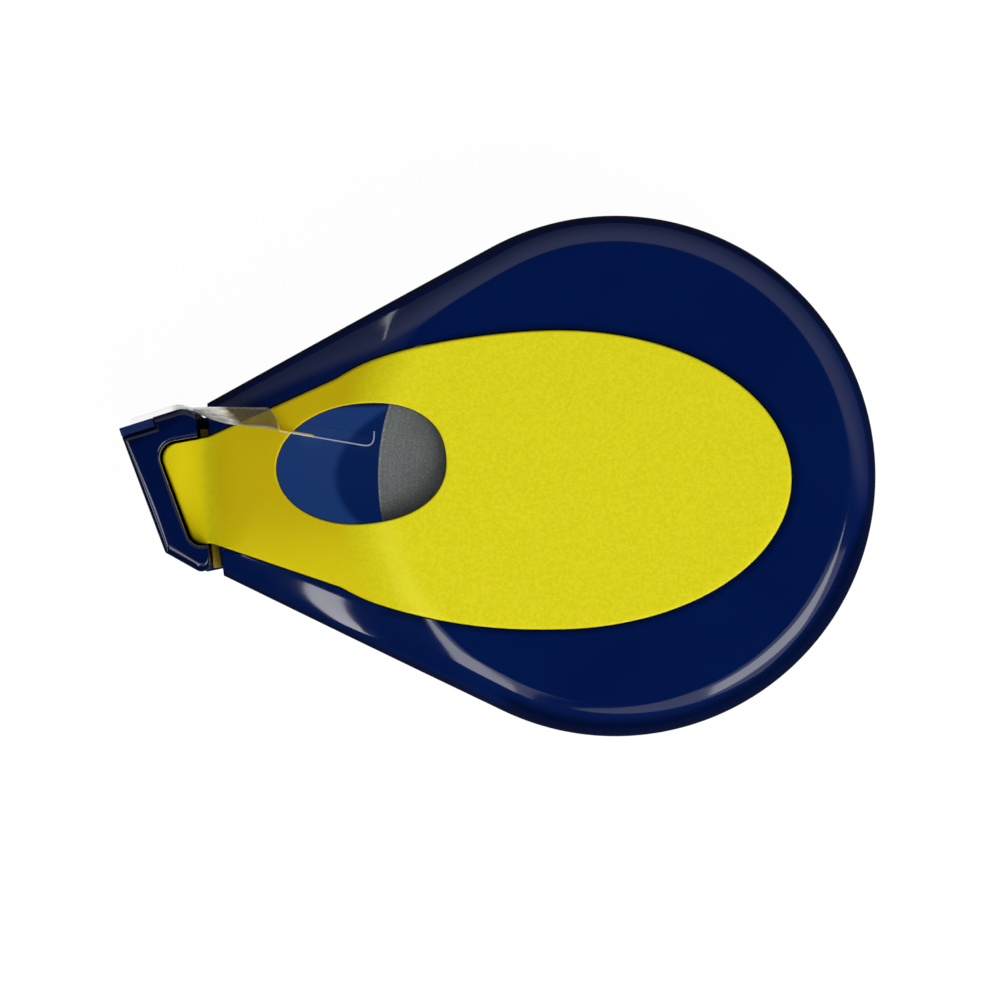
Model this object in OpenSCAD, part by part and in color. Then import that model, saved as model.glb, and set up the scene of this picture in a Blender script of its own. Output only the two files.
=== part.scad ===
// Hand tape dispenser: a round drum that holds a small roll, a tapering neck and a cutting nose.
// The origin is on the drum's axis in the plane of the flat underside. +Z points out of the
// thumb side, and the neck runs along -X.

/* [Drum] */
// Rounding of the upper edge, round the drum and along the neck
shoulder_r = 2.2; // [1.4:0.1:2.4]
// Height of the foot at the lower edge
foot_h = 0.6; // [0.4:0.1:0.8]
// How far the foot is set in
foot_in = 0.4; // [0.2:0.1:0.6]
// Thickness of the side walls
wall = 1.5; // [1.2:0.1:1.6]
// Thickness of the floor
floor_t = 1.6; // [1.5:0.1:2]
// Thickness of the upper skin
roof_t = 1.7; // [1.6:0.1:1.9]
// Height of the line where the two halves part
part_z = 9; // [7:0.5:12]
// Height of the lip that the upper half drops over
lip_h = 1.2; // [0.8:0.1:1.6]

/* [Neck] */
// Distance from the drum's side to the gap before the nose
neck_ext = 12.75; // [12:0.25:14.5]
// Half width of the neck at the gap
neck_end = 7.25; // [7:0.05:7.8]
// Width of the gap between neck and nose
notch_w = 1.0; // [0.8:0.1:1.2]
// Lean of that gap
notch_lean = 4.1; // [0:0.1:6]
// Width of the bend
bend_w = 2.6; // [1.5:0.1:3.5]
// Slope of the neck's upper face
ramp_angle = 25; // [20:0.5:27]

/* [Nose] */
// Distance from the gap to the cutting tip
nose_len = 7.6; // [7:0.1:9]
// Height of the cutting tip above the neck's axis
tip_y = 5.24; // [5:0.05:5.6]
// Lean of the nose's front face
front_lean = 19.1; // [17:0.1:21]
// Depth of the front face
front_d = 11.5; // [11:0.1:12]
// How far the nose's wall stays below the drum's top
nose_drop = 3; // [2:0.1:4]
// How far the nose's lower corner stands outside the neck
toe_out = 0.6; // [0.3:0.05:0.8]
// Wall of the nose beside the pad
nose_wall = 2.45; // [2.2:0.05:2.8]
// Rounding of the corner that the tape runs over
corner_r = 2.0; // [1.8:0.1:2.2]
// How far that corner stays inside the neck's side
corner_in = 0.5; // [0.3:0.05:0.8]
// Radius of the two pegs that key the nose
peg_r = 0.9; // [0.7:0.05:1]

/* [Cutter] */
// Length of the cutter strip
cutter_l = 3.0; // [2.6:0.1:3.6]
// Thickness of the cutter strip
cutter_t = 0.8; // [0.6:0.05:1]
// Spacing of the teeth
tooth_p = 1.2; // [0.9:0.1:1.6]
// Depth of the teeth
tooth_d = 0.7; // [0.5:0.05:0.9]

/* [Thumb pad] */
// Centre of the pad's oval along the body
pad_x = -5.2; // [-6:0.1:-4.6]
// Half width of the pad's oval
pad_b = 12.9; // [12:0.1:13.6]
// Reach of the oval away from the neck
pad_right = 20.9; // [19:0.1:21.5]
// Reach of the oval towards the neck
pad_left = 27; // [26:0.1:28]
// Where the oval turns into the straight taper
taper_x = -24; // [-25:0.1:-23]
// Half width of the pad at the gap
pad_end = 4.3; // [4:0.05:4.6]
// Extra half width of the pad's lower side at the gap
pad_low = 0.6; // [0.2:0.05:0.8]
// Upper corner of the pad's end in the nose
end_up = 3.6; // [3.2:0.1:3.8]
// Lower corner of the pad's end in the nose
end_low = 5.3; // [5:0.1:5.6]
// Rounding of those corners
end_r = 1.3; // [1:0.1:1.7]
// Thickness of the pad
pad_t = 1.0; // [0.8:0.1:1.1]
// How far the pad stands above the body
pad_proud = 0.1; // [0:0.05:0.2]
// Depth of the two ribs that hold the pad in the gap
rib_h = 8; // [5:0.5:9]

/* [Window] */
// Centre of the window along the body
win_x = -21.95; // [-22.5:0.05:-21.5]
// Centre of the window across the body
win_y = 1.6; // [1.2:0.1:2]
// Half length of the window
win_a = 7.35; // [6.8:0.05:7.6]
// Half width of the window
win_b = 5.15; // [4.8:0.05:5.4]
// Lean of the window
win_lean = 4.5; // [0:0.5:8]

/* [Roll] */
// Outer radius of the tape roll
roll_r = 20.5; // [18:0.25:20.5]
// Width of the tape
tape_w = 18; // [17:0.5:18]
// Inner radius of the roll's core
core_bore = 12.5; // [12:0.05:13]
// Thickness of the core's card
core_wall = 1.2; // [0.8:0.1:1.5]
// Radius of the spindle that the hub turns on
spindle_r = 4; // [3.5:0.1:5]
// Wall of the hub's sleeve, of its tube and of the cover's collar
hub_wall = 1.2; // [1:0.1:1.6]
// Thickness of the hub's flange
flange_t = 0.45; // [0.4:0.05:0.6]

/* [Underside pad] */
// Centre of the underside pad along the body
palm_x = -4.6; // [-5:0.1:-4]
// Centre of the underside pad across the body
palm_y = 0.5; // [0:0.1:1]
// Half length of the underside pad
palm_a = 20.2; // [17:0.1:20.4]
// Half width of the underside pad
palm_b = 9.35; // [8:0.1:11]
// Thickness of the underside pad
palm_t = 0.8; // [0.6:0.1:0.9]

/* [Fits] */
// Running clearance of the hub on its spindle
run_gap = 0.08; // [0.05:0.01:0.12]
// Clearance round pieces that drop into a seat
seat_gap = 0.1; // [0.08:0.01:0.15]
// Clearance of the roll under the upper skin
roll_gap = 0.55; // [0.4:0.05:0.7]
// Clearance of the roll round its side
roll_side = 0.5; // [0.4:0.05:1]
// Bed of glue under the thumb pad
bed_gap = 0.05; // [0.03:0.01:0.08]
// Width of the slot that the tape runs through
slot_w = 0.5; // [0.4:0.05:0.6]
// Thickness of the tape film
film_t = 0.1; // [0.06:0.01:0.12]

/* [Hidden] */
$fn = 96;
eps = 0.01;
far = 60;
drum_r = roll_r + roll_side + wall;
// Heights inside the drum, from the floor up
ring_z = floor_t + 0.2;
hub_z = ring_z + run_gap / 2;
roll_z = hub_z + flange_t + seat_gap / 2;
roll_top = roll_z + tape_w;
roof_z = roll_top + roll_gap;
drum_h = roof_z + roof_t;
hub_h = tape_w - 2;
collar_z = hub_z + hub_h + 0.3;
core_r = core_bore + core_wall;
// Upper face of the neck
neck_len = drum_r + neck_ext;
bend_r = drum_r - shoulder_r;
bend_drop = bend_w * tan(ramp_angle) / 2;
ramp_r = bend_r + bend_w;
run_out = 1.2;
ramp_end = neck_len + run_out;
nose_z = drum_h - bend_drop - (ramp_end - ramp_r) * tan(ramp_angle);
// The straight sides run just inside the drum's circle and meet at the apex
side_r = drum_r - 0.05;
neck_angle = asin(side_r / norm([neck_len, neck_end])) - atan(neck_end / neck_len);
apex = side_r / sin(neck_angle);
side_l = neck_len / cos(neck_angle) - side_r * tan(neck_angle) + 1.9;
side_drop = atan((drum_h - nose_z) / side_l);
// Corners of the nose
tip_x = -(neck_len + nose_len);
heel_x = tip_x + front_d * sin(front_lean);
heel_y = tip_y - front_d * cos(front_lean);
toe_x = -neck_len - 0.1;
toe_y = -neck_end - toe_out;
toe_r = 0.7;
corner_x = -neck_len - 0.1 - corner_r;
corner_y = neck_end - corner_in - corner_r;
nose_h = drum_h - nose_drop;
peg_x = -neck_len - 2.2;
peg_ys = [-2.6, 2.2];
peg_h = 3;
rib_gap = 0.15;
cutter_z = floor_t + 0.8;
cutter_gap = 0.03;
web_t = 1.4;
// Line of the pad's front edge, inside the nose
front_nx = -cos(front_lean);
front_ny = -sin(front_lean);
front_c = tip_x * front_nx + tip_y * front_ny - nose_wall;

// Half width of the neck at x, moved in by d
function neck_half(x, d) = (x + apex) * tan(neck_angle) - d / cos(neck_angle);

// Points of an arc about c
function arc(c, r, a0, a1, n) = [for (i = [0 : n]) let(a = a0 + (a1 - a0) * i / n)
    c + r * [cos(a), sin(a)]];

// Half width of the pad at x
function pad_half(x) = x > pad_x ? pad_b * sqrt(max(0, 1 - pow((x - pad_x) / pad_right, 2)))
    : x > taper_x ? pad_b * sqrt(1 - pow((x - pad_x) / pad_left, 2))
    : pad_end + (pad_half(taper_x + eps) - pad_end) * (x + neck_len) / (taper_x + neck_len);

// Point on the pad's front edge at height y
function front_x(y, d) = (front_c - d - y * front_ny) / front_nx;

// Radius at the corner c between the directions of a and b, as points
function fillet(a, c, b, r, n) = let(
    u = (a - c) / norm(a - c),
    v = (b - c) / norm(b - c),
    h = acos(u * v) / 2,
    m = (u + v) / norm(u + v),
    o = c + m * r / sin(h),
    s = c + u * r / tan(h) - o,
    e = c + v * r / tan(h) - o,
    a0 = atan2(s[1], s[0]),
    t = atan2(s[0] * e[1] - s[1] * e[0], s * e))
    [for (i = [0 : n]) o + r * [cos(a0 + t * i / n), sin(a0 + t * i / n)]];

// Outline of the thumb pad, grown by g
function pad_points(g) = let(
    us = [for (i = [0 : 30]) sin(90 - i * 3)],
    ls = [for (i = [1 : 12]) pad_x + (taper_x - pad_x) * i / 12],
    up = concat([for (u = us)
        [pad_x + (pad_right + g) * u, pad_half(pad_x + pad_right * u) + g * (1 - pow(u, 4))]],
        [for (x = ls) [x, pad_half(x) + g]]),
    n = len(up),
    top_end = [-neck_len, pad_end + g],
    top_c = [front_x(end_up, -g), end_up + g],
    low_c = [front_x(-end_low, -g), -end_low - g],
    low_end = [-neck_len, -pad_end - pad_low - g])
    concat(up, [top_end], fillet(top_end, top_c, low_c, end_r + g, 8),
        fillet(top_c, low_c, low_end, end_r + g, 8),
        [low_end], [for (i = [n - 1 : -1 : 1]) [up[i][0], -up[i][1]]]);

// Outline of the window, an oval that is fuller towards the drum
function win_points(g) = [for (i = [0 : 71]) let(
    a = i * 5,
    p = cos(a) > 0 ? 0.87 : 1,
    x = (win_a + g) * sign(cos(a)) * pow(abs(cos(a)), p),
    y = (win_b + g) * sign(sin(a)) * pow(abs(sin(a)), p))
    [win_x + x * cos(win_lean) - y * sin(win_lean), win_y + x * sin(win_lean) + y * cos(win_lean)]];

// Route of the tape in plan, from the roll to the nose
peel_r = 0.6;
peel_x = -(roll_r + 0.25);
peel_y = 3.1;
wrap_r = corner_r + film_t / 2 + 0.02;
corner_d = [corner_x - tip_x, corner_y - tip_y];
wall_a = atan2(corner_d[1], corner_d[0]) + asin(corner_r / norm(corner_d));
tail = 1.2;
route = concat([[peel_x + 0.03, peel_y + 1.3]],
    arc([peel_x - peel_r, peel_y + peel_r], peel_r, 0, -79, 6),
    [[-drum_r - 5.5, neck_end - 2.8], [-neck_len + 1.6, neck_end - 1.8], [-neck_len + 0.1, neck_end - 1.3]],
    arc([corner_x, corner_y], wrap_r, 60, 90 + wall_a, 6),
    [[tip_x + tail * cos(wall_a) - (wrap_r - corner_r) * sin(wall_a),
        tip_y + tail * sin(wall_a) + (wrap_r - corner_r) * cos(wall_a)]]);

// Unit normal of the route at point i
function route_n(p, i) = let(
    a = p[max(0, i - 1)],
    b = p[min(len(p) - 1, i + 1)],
    d = (b - a) / norm(b - a))
    [-d[1], d[0]];

// The route made h thick on each side
function ribbon(p, h) = concat([for (i = [0 : len(p) - 1]) p[i] + h * route_n(p, i)],
    [for (i = [len(p) - 1 : -1 : 0]) p[i] - h * route_n(p, i)]);

// Plan of the neck, moved in by d
module neck_plan(d) {
    intersection() {
        polygon([[0, 0], [-(side_r - d) * sin(neck_angle), (side_r - d) * cos(neck_angle)],
            [-neck_len - 3, neck_half(-neck_len - 3, d)],
            [-neck_len - 3, -neck_half(-neck_len - 3, d)],
            [-(side_r - d) * sin(neck_angle), -(side_r - d) * cos(neck_angle)]]);
        notch_side(notch_w / 2 + d, 1);
    }
}

// Plan of the body without the nose, moved in by d
module body_plan(d) {
    circle(drum_r - d);
    neck_plan(d);
}

// Everything on one side of the gap's middle line: s is 1 for the drum and -1 for the nose
module notch_side(d, s) {
    translate([-neck_len, 0]) rotate(notch_lean) translate([s > 0 ? d : -d - far * 2, -far])
        square([far * 2, far * 2]);
}

// Plan of the nose
module nose_plan() {
    intersection() {
        polygon(concat([[tip_x, tip_y]], [[heel_x, heel_y]],
            fillet([heel_x, heel_y], [toe_x, toe_y], [toe_x + 0.4, 0], toe_r, 6),
            [[-neck_len + 1, 0], [-neck_len + 1, corner_y]],
            arc([corner_x, corner_y], corner_r, 0, 90 + wall_a, 16)));
        notch_side(notch_w / 2, -1);
    }
}

// Upper face of neck and pad, turned about the drum's axis and moved up by dz
module top_form(dz) {
    rotate_extrude() polygon(concat([[0, -1], [0, drum_h + dz], [bend_r, drum_h + dz]],
        [for (i = [1 : 4]) [bend_r + bend_w * i / 4, drum_h + dz - bend_drop * i * i / 16]],
        [for (i = [0 : 3]) [ramp_end + run_out * (2 * i / 3 - 1),
            nose_z + dz + run_out * tan(ramp_angle) * (3 - i) * (3 - i) / 9]],
        [[far, nose_z + dz], [far, -1]]));
}

// Corner profile for the neck's upper edges
module edge_profile(r) {
    translate([-far * 2, -far]) square([far * 2, far - r]);
    translate([-far * 2, -far]) square([far * 2 - r, far * 2]);
    translate([-r, -r]) circle(r);
}

// One upper edge of the neck, rounded and falling with the slope
module top_edge() {
    rotate([0, 0, 90 + neck_angle]) translate([side_r, 0, drum_h]) rotate([90 - side_drop, 0, 0])
        linear_extrude(far * 2, center = true) edge_profile(shoulder_r);
}

// Outer form of the upper half
module upper_form() {
    // The drum's flat middle
    cylinder(h = drum_h, r = bend_r - 1);
    // Its rounded rim, from one side of the neck round to the other
    rotate(-90 - neck_angle) rotate_extrude(angle = 180 + 2 * neck_angle) {
        translate([bend_r - 2, 0]) square([2, drum_h]);
        translate([bend_r - 2, 0]) square([shoulder_r + 2, drum_h - shoulder_r]);
        translate([bend_r, drum_h - shoulder_r]) intersection() {
            circle(shoulder_r);
            square(shoulder_r);
        }
    }
    intersection() {
        linear_extrude(drum_h + 1) neck_plan(0);
        top_form(0);
        top_edge();
        mirror([0, 1, 0]) top_edge();
    }
}

// Outer form of the lower half, with a foot set in a little
module lower_form() {
    linear_extrude(foot_h + 0.1) body_plan(foot_in);
    translate([0, 0, foot_h]) linear_extrude(part_z - foot_h) body_plan(0);
}

// Hollow of both halves
module cavity() {
    translate([0, 0, floor_t]) cylinder(h = roof_z - floor_t, r = drum_r - wall);
    intersection() {
        translate([0, 0, floor_t]) linear_extrude(far) neck_plan(wall);
        top_form(-roof_t);
    }
}

// Slot for the tape, w wide
module tape_slot(w) {
    path = [for (i = [6 : 10]) i == 10 ? route[i] + [-1.2, 0.5] : route[i]];
    translate([0, 0, floor_t]) linear_extrude(far) polygon(ribbon(path, w / 2));
}

module window_cut(g) {
    translate([0, 0, part_z + 1.5]) linear_extrude(far) polygon(win_points(g));
}

module base_shell() color([0.02, 0.07, 0.30]) {
    difference() {
        union() {
            difference() {
                union() {
                    lower_form();
                    // Lip that the cover drops over
                    translate([0, 0, part_z - 1]) linear_extrude(1 + lip_h) body_plan(wall / 2 + seat_gap);
                }
                translate([0, 0, floor_t]) linear_extrude(far) body_plan(wall);
            }
            // Tongue under the nose
            linear_extrude(floor_t) tongue_plan();
            // Spindle on its thrust ring
            cylinder(h = ring_z, r = spindle_r + hub_wall * 2);
            cylinder(h = roll_top - 0.8, r = spindle_r);
            // Pegs that key the nose
            for (y = peg_ys) translate([peg_x, y, floor_t - 0.5]) cylinder(h = peg_h + 0.5, r = peg_r);
        }
        // The spindle is hollow
        translate([0, 0, ring_z + 1]) cylinder(h = far, r = spindle_r - wall);
        translate([0, 0, -1]) linear_extrude(1 + palm_t + bed_gap) polygon(palm_points(seat_gap));
        tape_slot(slot_w);
    }
}

// Plan of the tongue: the nose and the floor of the gap
module tongue_plan() {
    polygon(concat([[tip_x, tip_y], [heel_x, heel_y], [toe_x - toe_r, toe_y + toe_r / 2],
        [-neck_len + notch_w + 0.4, -neck_end + 0.15], [-neck_len + notch_w + 0.4, neck_end - 0.65]],
        arc([corner_x, corner_y], corner_r - seat_gap, 45, 90 + wall_a, 6)));
}

// Outline of the underside pad
function palm_points(g) = [for (i = [0 : 71])
    [palm_x + (palm_a + g) * cos(i * 5), palm_y + (palm_b + g) * sin(i * 5)]];

module cover_shell() color([0.02, 0.07, 0.30]) {
    difference() {
        intersection() {
            upper_form();
            translate([-far, -far, part_z]) cube([far * 2, far * 2, far]);
        }
        cavity();
        // Rebate for the lip
        translate([0, 0, part_z - 1]) linear_extrude(1 + lip_h + seat_gap) body_plan(wall / 2);
        // Pocket for the pad
        difference() {
            translate([0, 0, part_z]) linear_extrude(far) polygon(pad_points(seat_gap));
            top_form(-pad_t - bed_gap);
        }
        window_cut(0);
        tape_slot(slot_w);
    }
    // Collar that drops over the spindle and keeps the hub down
    translate([0, 0, collar_z]) difference() {
        cylinder(h = roof_z + 0.5 - collar_z, r = spindle_r + seat_gap + hub_wall);
        translate([0, 0, -1]) cylinder(h = roof_z + 1 - collar_z, r = spindle_r + seat_gap);
    }
}

module thumb_pad() color([0.86, 0.81, 0.06]) {
    difference() {
        union() {
            intersection() {
                translate([0, 0, part_z]) linear_extrude(far) polygon(pad_points(0));
                difference() {
                    top_form(pad_proud);
                    top_form(-pad_t);
                }
            }
            // Ribs in the gap before the nose
            translate([0, 0, nose_z - rib_h]) linear_extrude(rib_h - pad_t / 2) {
                intersection() {
                    notch_side(-(notch_w / 2 - rib_gap), 1);
                    notch_side(-(notch_w / 2 - rib_gap), -1);
                    translate([-neck_len - 2, -neck_end + rib_gap]) square([4, neck_end * 2 - 2.4]);
                }
            }
        }
        window_cut(0.05);
        tape_slot(slot_w - 0.1);
    }
}

module palm_pad() color([0.86, 0.81, 0.06]) linear_extrude(palm_t) polygon(palm_points(0));

// Outline of the cutter strip, grown by g
module cutter_plan(g) {
    translate([tip_x, tip_y]) rotate(wall_a) translate([0.05 - g, -cutter_t - g])
        square([cutter_l + g, cutter_t + g - 0.05]);
}

module nose_head() color([0.02, 0.07, 0.30]) {
    difference() {
        translate([0, 0, floor_t]) linear_extrude(nose_h - floor_t) nose_plan();
        // Pocket for the end of the pad
        translate([0, 0, nose_z - pad_t - bed_gap]) linear_extrude(far) polygon(pad_points(seat_gap + 0.05));
        // Slot for the cutter
        translate([0, 0, cutter_z]) linear_extrude(far) cutter_plan(cutter_gap);
        // Holes for the pegs
        for (y = peg_ys) translate([peg_x, y, 0]) cylinder(h = floor_t + peg_h + seat_gap, r = peg_r + 0.05);
    }
}

module cutter_strip() color([0.10, 0.25, 0.55]) {
    difference() {
        translate([0, 0, cutter_z + cutter_gap]) linear_extrude(nose_h - cutter_z - cutter_gap)
            cutter_plan(0);
        for (i = [0 : floor((nose_h - cutter_z - tooth_p) / tooth_p)])
            translate([tip_x, tip_y, cutter_z + (i + 0.5) * tooth_p]) rotate([90, 0, wall_a])
                linear_extrude(cutter_t * 5, center = true) polygon([[-1, -tooth_p / 2], [-1, tooth_p / 2],
                    [0.05, tooth_p / 2 - 0.1], [0.05 + tooth_d, 0], [0.05, -tooth_p / 2 + 0.1]]);
    }
}

module reel_hub() color([0.80, 0.82, 0.84]) {
    sleeve_in = core_bore - seat_gap - hub_wall;
    tube_r = spindle_r + run_gap + hub_wall;
    difference() {
        translate([0, 0, hub_z]) union() {
            // Flange that the roll stands on
            cylinder(h = flange_t, r = core_r + 1.5);
            cylinder(h = hub_h, r = core_bore - seat_gap);
        }
        // Space between the sleeve and the inner tube, down to the web
        translate([0, 0, hub_z + web_t]) difference() {
            cylinder(h = far, r = sleeve_in);
            translate([0, 0, -1]) cylinder(h = hub_h - web_t + 1, r = tube_r);
            for (a = [0 : 60 : 300]) rotate(a) translate([tube_r - 0.5, -hub_wall / 2, -1])
                cube([sleeve_in - tube_r + 1, hub_wall, 1 + hub_h / 2]);
        }
        // Bore for the spindle
        translate([0, 0, hub_z - 1]) cylinder(h = far, r = spindle_r + run_gap);
        // Round windows in the web
        for (a = [30 : 60 : 330]) rotate(a) translate([(sleeve_in + tube_r) / 2, 0, hub_z - 1])
            cylinder(h = 1 + web_t * 2, r = (sleeve_in - tube_r) / 3.4);
    }
}

module roll_core() color([0.85, 0.83, 0.78]) translate([0, 0, roll_z]) difference() {
    cylinder(h = tape_w, r = core_r);
    translate([0, 0, -1]) cylinder(h = far, r = core_bore);
}

module tape_roll() color([0.62, 0.64, 0.62]) translate([0, 0, roll_z]) difference() {
    cylinder(h = tape_w, r = roll_r);
    translate([0, 0, -1]) cylinder(h = far, r = core_r);
}

module tape_strip() color([0.80, 0.82, 0.80]) translate([0, 0, roll_z]) linear_extrude(tape_w)
    polygon(ribbon(route, film_t / 2));

base_shell();
cover_shell();
thumb_pad();
palm_pad();
nose_head();
cutter_strip();
reel_hub();
roll_core();
tape_roll();
tape_strip();
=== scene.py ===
import math

import bmesh
import bpy
import numpy as np
from mathutils import Euler, Matrix


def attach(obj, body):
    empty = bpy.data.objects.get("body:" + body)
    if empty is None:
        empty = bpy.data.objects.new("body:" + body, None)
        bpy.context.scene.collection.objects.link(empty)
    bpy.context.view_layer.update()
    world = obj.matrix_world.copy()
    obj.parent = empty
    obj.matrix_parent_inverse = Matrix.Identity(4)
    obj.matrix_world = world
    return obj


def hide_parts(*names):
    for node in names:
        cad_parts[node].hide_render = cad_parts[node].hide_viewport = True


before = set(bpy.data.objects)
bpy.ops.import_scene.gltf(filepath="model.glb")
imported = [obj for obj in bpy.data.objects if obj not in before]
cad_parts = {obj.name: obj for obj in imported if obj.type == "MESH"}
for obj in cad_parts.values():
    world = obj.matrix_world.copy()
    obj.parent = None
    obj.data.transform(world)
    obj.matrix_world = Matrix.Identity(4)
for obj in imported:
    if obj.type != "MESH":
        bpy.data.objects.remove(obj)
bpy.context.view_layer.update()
mm = 0.001


# ---------------------------------------------------------------------------
# Lower half of the body
# Injection-moulded, slightly clear navy plastic. Its floor carries the spindle
# and a lip round the rim, over which the upper half snaps.
# ---------------------------------------------------------------------------
class Value:
    """A number that varies over a surface: one output socket, on which + - * ** and abs add Math nodes."""

    def __init__(self, nodes, socket):
        self.nodes, self.socket = nodes, socket

    def math(self, operation, a, b=0):
        return self.nodes.node("ShaderNodeMath", {"operation": operation}, {0: a, 1: b})

    def __add__(self, other):
        return self.math("ADD", self, other)

    def __sub__(self, other):
        return self.math("SUBTRACT", self, other)

    def __rsub__(self, other):
        return self.math("SUBTRACT", other, self)

    def __mul__(self, other):
        return self.math("MULTIPLY", self, other)

    def __pow__(self, other):
        return self.math("POWER", self, other)

    def __abs__(self):
        return self.math("ABSOLUTE", self)

    def at_least(self, least):
        return self.math("MAXIMUM", self, least)

    __radd__, __rmul__ = __add__, __mul__


class Nodes:
    """The nodes of one material or of the world."""

    def __init__(self, tree):
        self.tree = tree

    def node(self, kind, settings=None, sockets=None, out=0):
        """A node of that type: its settings, then the values or links of its sockets."""
        made = self.tree.nodes.new(kind)
        for key, value in (settings or {}).items():
            setattr(made, key, value)
        for key, value in (sockets or {}).items():
            if isinstance(value, Value):
                self.tree.links.new(value.socket, made.inputs[key])
            else:
                made.inputs[key].default_value = value
        return Value(self, made.outputs[out])

    def outputs(self, value, keys):
        """Several outputs of the node that a value comes from."""
        return [Value(self, value.socket.node.outputs[key]) for key in keys]

    def ease(self, value, low, high, start=0.0, end=1.0):
        """The number start below low, end above high, and a smooth change between them."""
        ends = {"From Min": low, "From Max": high, "To Min": start, "To Max": end}
        return self.node("ShaderNodeMapRange", {"interpolation_type": "SMOOTHSTEP"}, {"Value": value, **ends})

    def fade(self, value, low, high):
        """1 below low, 0 above high and a smooth fall between them."""
        return 1 - self.ease(value, low, high)

    def band(self, value, low, full, fading, high):
        """0 below low, 1 from full to fading, and 0 again above high."""
        return self.ease(value, low, full) * self.fade(value, fading, high)


class Finish(Nodes):
    """A material around one Principled shader. Its constants go straight onto the shader's sockets."""

    def __init__(self, name, **constants):
        self.material = bpy.data.materials.new(name)
        self.material.use_nodes = True
        super().__init__(self.material.node_tree)
        self.shader = self.tree.nodes["Principled BSDF"]
        for key, value in constants.items():
            self.shader.inputs[key.replace("_", " ")].default_value = value

    def place(self):
        """Object coordinates, in metres."""
        return self.node("ShaderNodeTexCoord", out="Object")

    def axes(self):
        """The three object coordinates as numbers, in millimetres."""
        scaled = self.node("ShaderNodeVectorMath", {"operation": "SCALE"}, {0: self.place(), "Scale": 1 / mm})
        return self.outputs(self.node("ShaderNodeSeparateXYZ", None, {0: scaled}), range(3))

    def noise(self, size, detail=3.0, rough=0.5):
        """Soft noise from 0 to 1 with features of that size in millimetres."""
        sockets = {"Vector": self.place(), "Scale": 1 / (size * mm), "Detail": detail, "Roughness": rough}
        return self.node("ShaderNodeTexNoise", None, sockets)

    def hairlines(self, turn, scale, detail):
        """Noise from 0 to 1 drawn out into lines, turned by that angle. Scale is how fine it is on each axis."""
        sockets = {"Vector": self.place(), "Rotation": (0, 0, turn), "Scale": scale}
        drawn_out = self.node("ShaderNodeMapping", None, sockets)
        return self.node("ShaderNodeTexNoise", None, {"Vector": drawn_out, "Scale": 1.0, "Detail": detail})

    def mix(self, factor, a, b):
        """Colour a where factor is 0 and colour b where it is 1."""
        a, b = [c if isinstance(c, Value) else (*c, 1) for c in (a, b)]
        return self.node("ShaderNodeMix", {"data_type": "RGBA"}, {0: factor, 6: a, 7: b}, out=2)

    def put(self, **links):
        """Links values to the shader's sockets of those names."""
        for key, value in links.items():
            self.tree.links.new(value.socket, self.shader.inputs[key.replace("_", " ")])

    def bump(self, height, depth):
        """Relief of that depth in millimetres, for a height that runs from 0 to 1."""
        sockets = {"Strength": 1.0, "Distance": depth * mm, "Height": height}
        self.put(Normal=self.node("ShaderNodeBump", None, sockets))


def from_axis(x, y):
    """Distance from the drum's axis, the root of x squared and y squared."""
    return (x * x + y * y) ** 0.5


def add_piece(name, mesh, finish, body, slot, *nodes):
    """Puts a mesh into the scene with its finish, its CAD body and the nodes that it stands for."""
    piece = bpy.data.objects.new(name, mesh)
    bpy.context.scene.collection.objects.link(piece)
    mesh.materials.clear()
    mesh.materials.append(finish.material)
    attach(piece, body)
    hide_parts(*nodes)
    return piece


# how near two points are before they are one, how short an edge is before it goes, and where a crease starts.
# Lengths here and below are in millimetres.
merge_cad, merge_grid, too_short = 0.001, 0.002, 0.0005
crease, grid_crease, nearly_flat = math.radians(35), math.radians(40), math.radians(0.5)


def joined(node, name):
    """The moulded form of a node as one closed skin, smooth where faces meet at less than the crease angle."""
    work = bmesh.new()
    work.from_mesh(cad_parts[node].data)
    bmesh.ops.remove_doubles(work, verts=work.verts, dist=merge_cad * mm)
    bmesh.ops.dissolve_degenerate(work, dist=too_short * mm, edges=work.edges)
    bmesh.ops.dissolve_limit(work, angle_limit=nearly_flat, verts=work.verts, edges=work.edges)
    bmesh.ops.triangulate(work, faces=[f for f in work.faces if len(f.verts) > 4])
    mesh = bpy.data.meshes.new(name)
    work.verts.index_update()
    mesh.from_pydata([v.co[:] for v in work.verts], [], [[v.index for v in f.verts] for f in work.faces])
    work.free()
    mesh.shade_smooth()
    mesh.set_sharp_from_angle(angle=crease)
    return mesh


def broken_edges(piece, width, segments=2):
    """Takes the sharpness off the edges where a moulding turns by more than the crease angle."""
    bevel = piece.modifiers.new("edges", "BEVEL")
    bevel.width, bevel.segments, bevel.limit_method = width * mm, segments, "ANGLE"
    bevel.angle_limit, bevel.use_clamp_overlap = crease, True


navy = (0.0004, 0.0052, 0.048)
pale_navy_glow_and_mottle = (0.006, 0.022, 0.10)
floor_glow, pad_glow = (0.0095, 0.034, 0.138), (0.0012, 0.011, 0.072)
palm_x, palm_y, palm_a, palm_b = -4.6, 0.5, 20.2, 9.35

lower_finish = Finish("clear_navy_floor", IOR=1.49, Specular_IOR_Level=0.5, Coat_Weight=0.3, Coat_Roughness=0.05,
    Emission_Strength=1.0)
x, y, z = lower_finish.axes()
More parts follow.
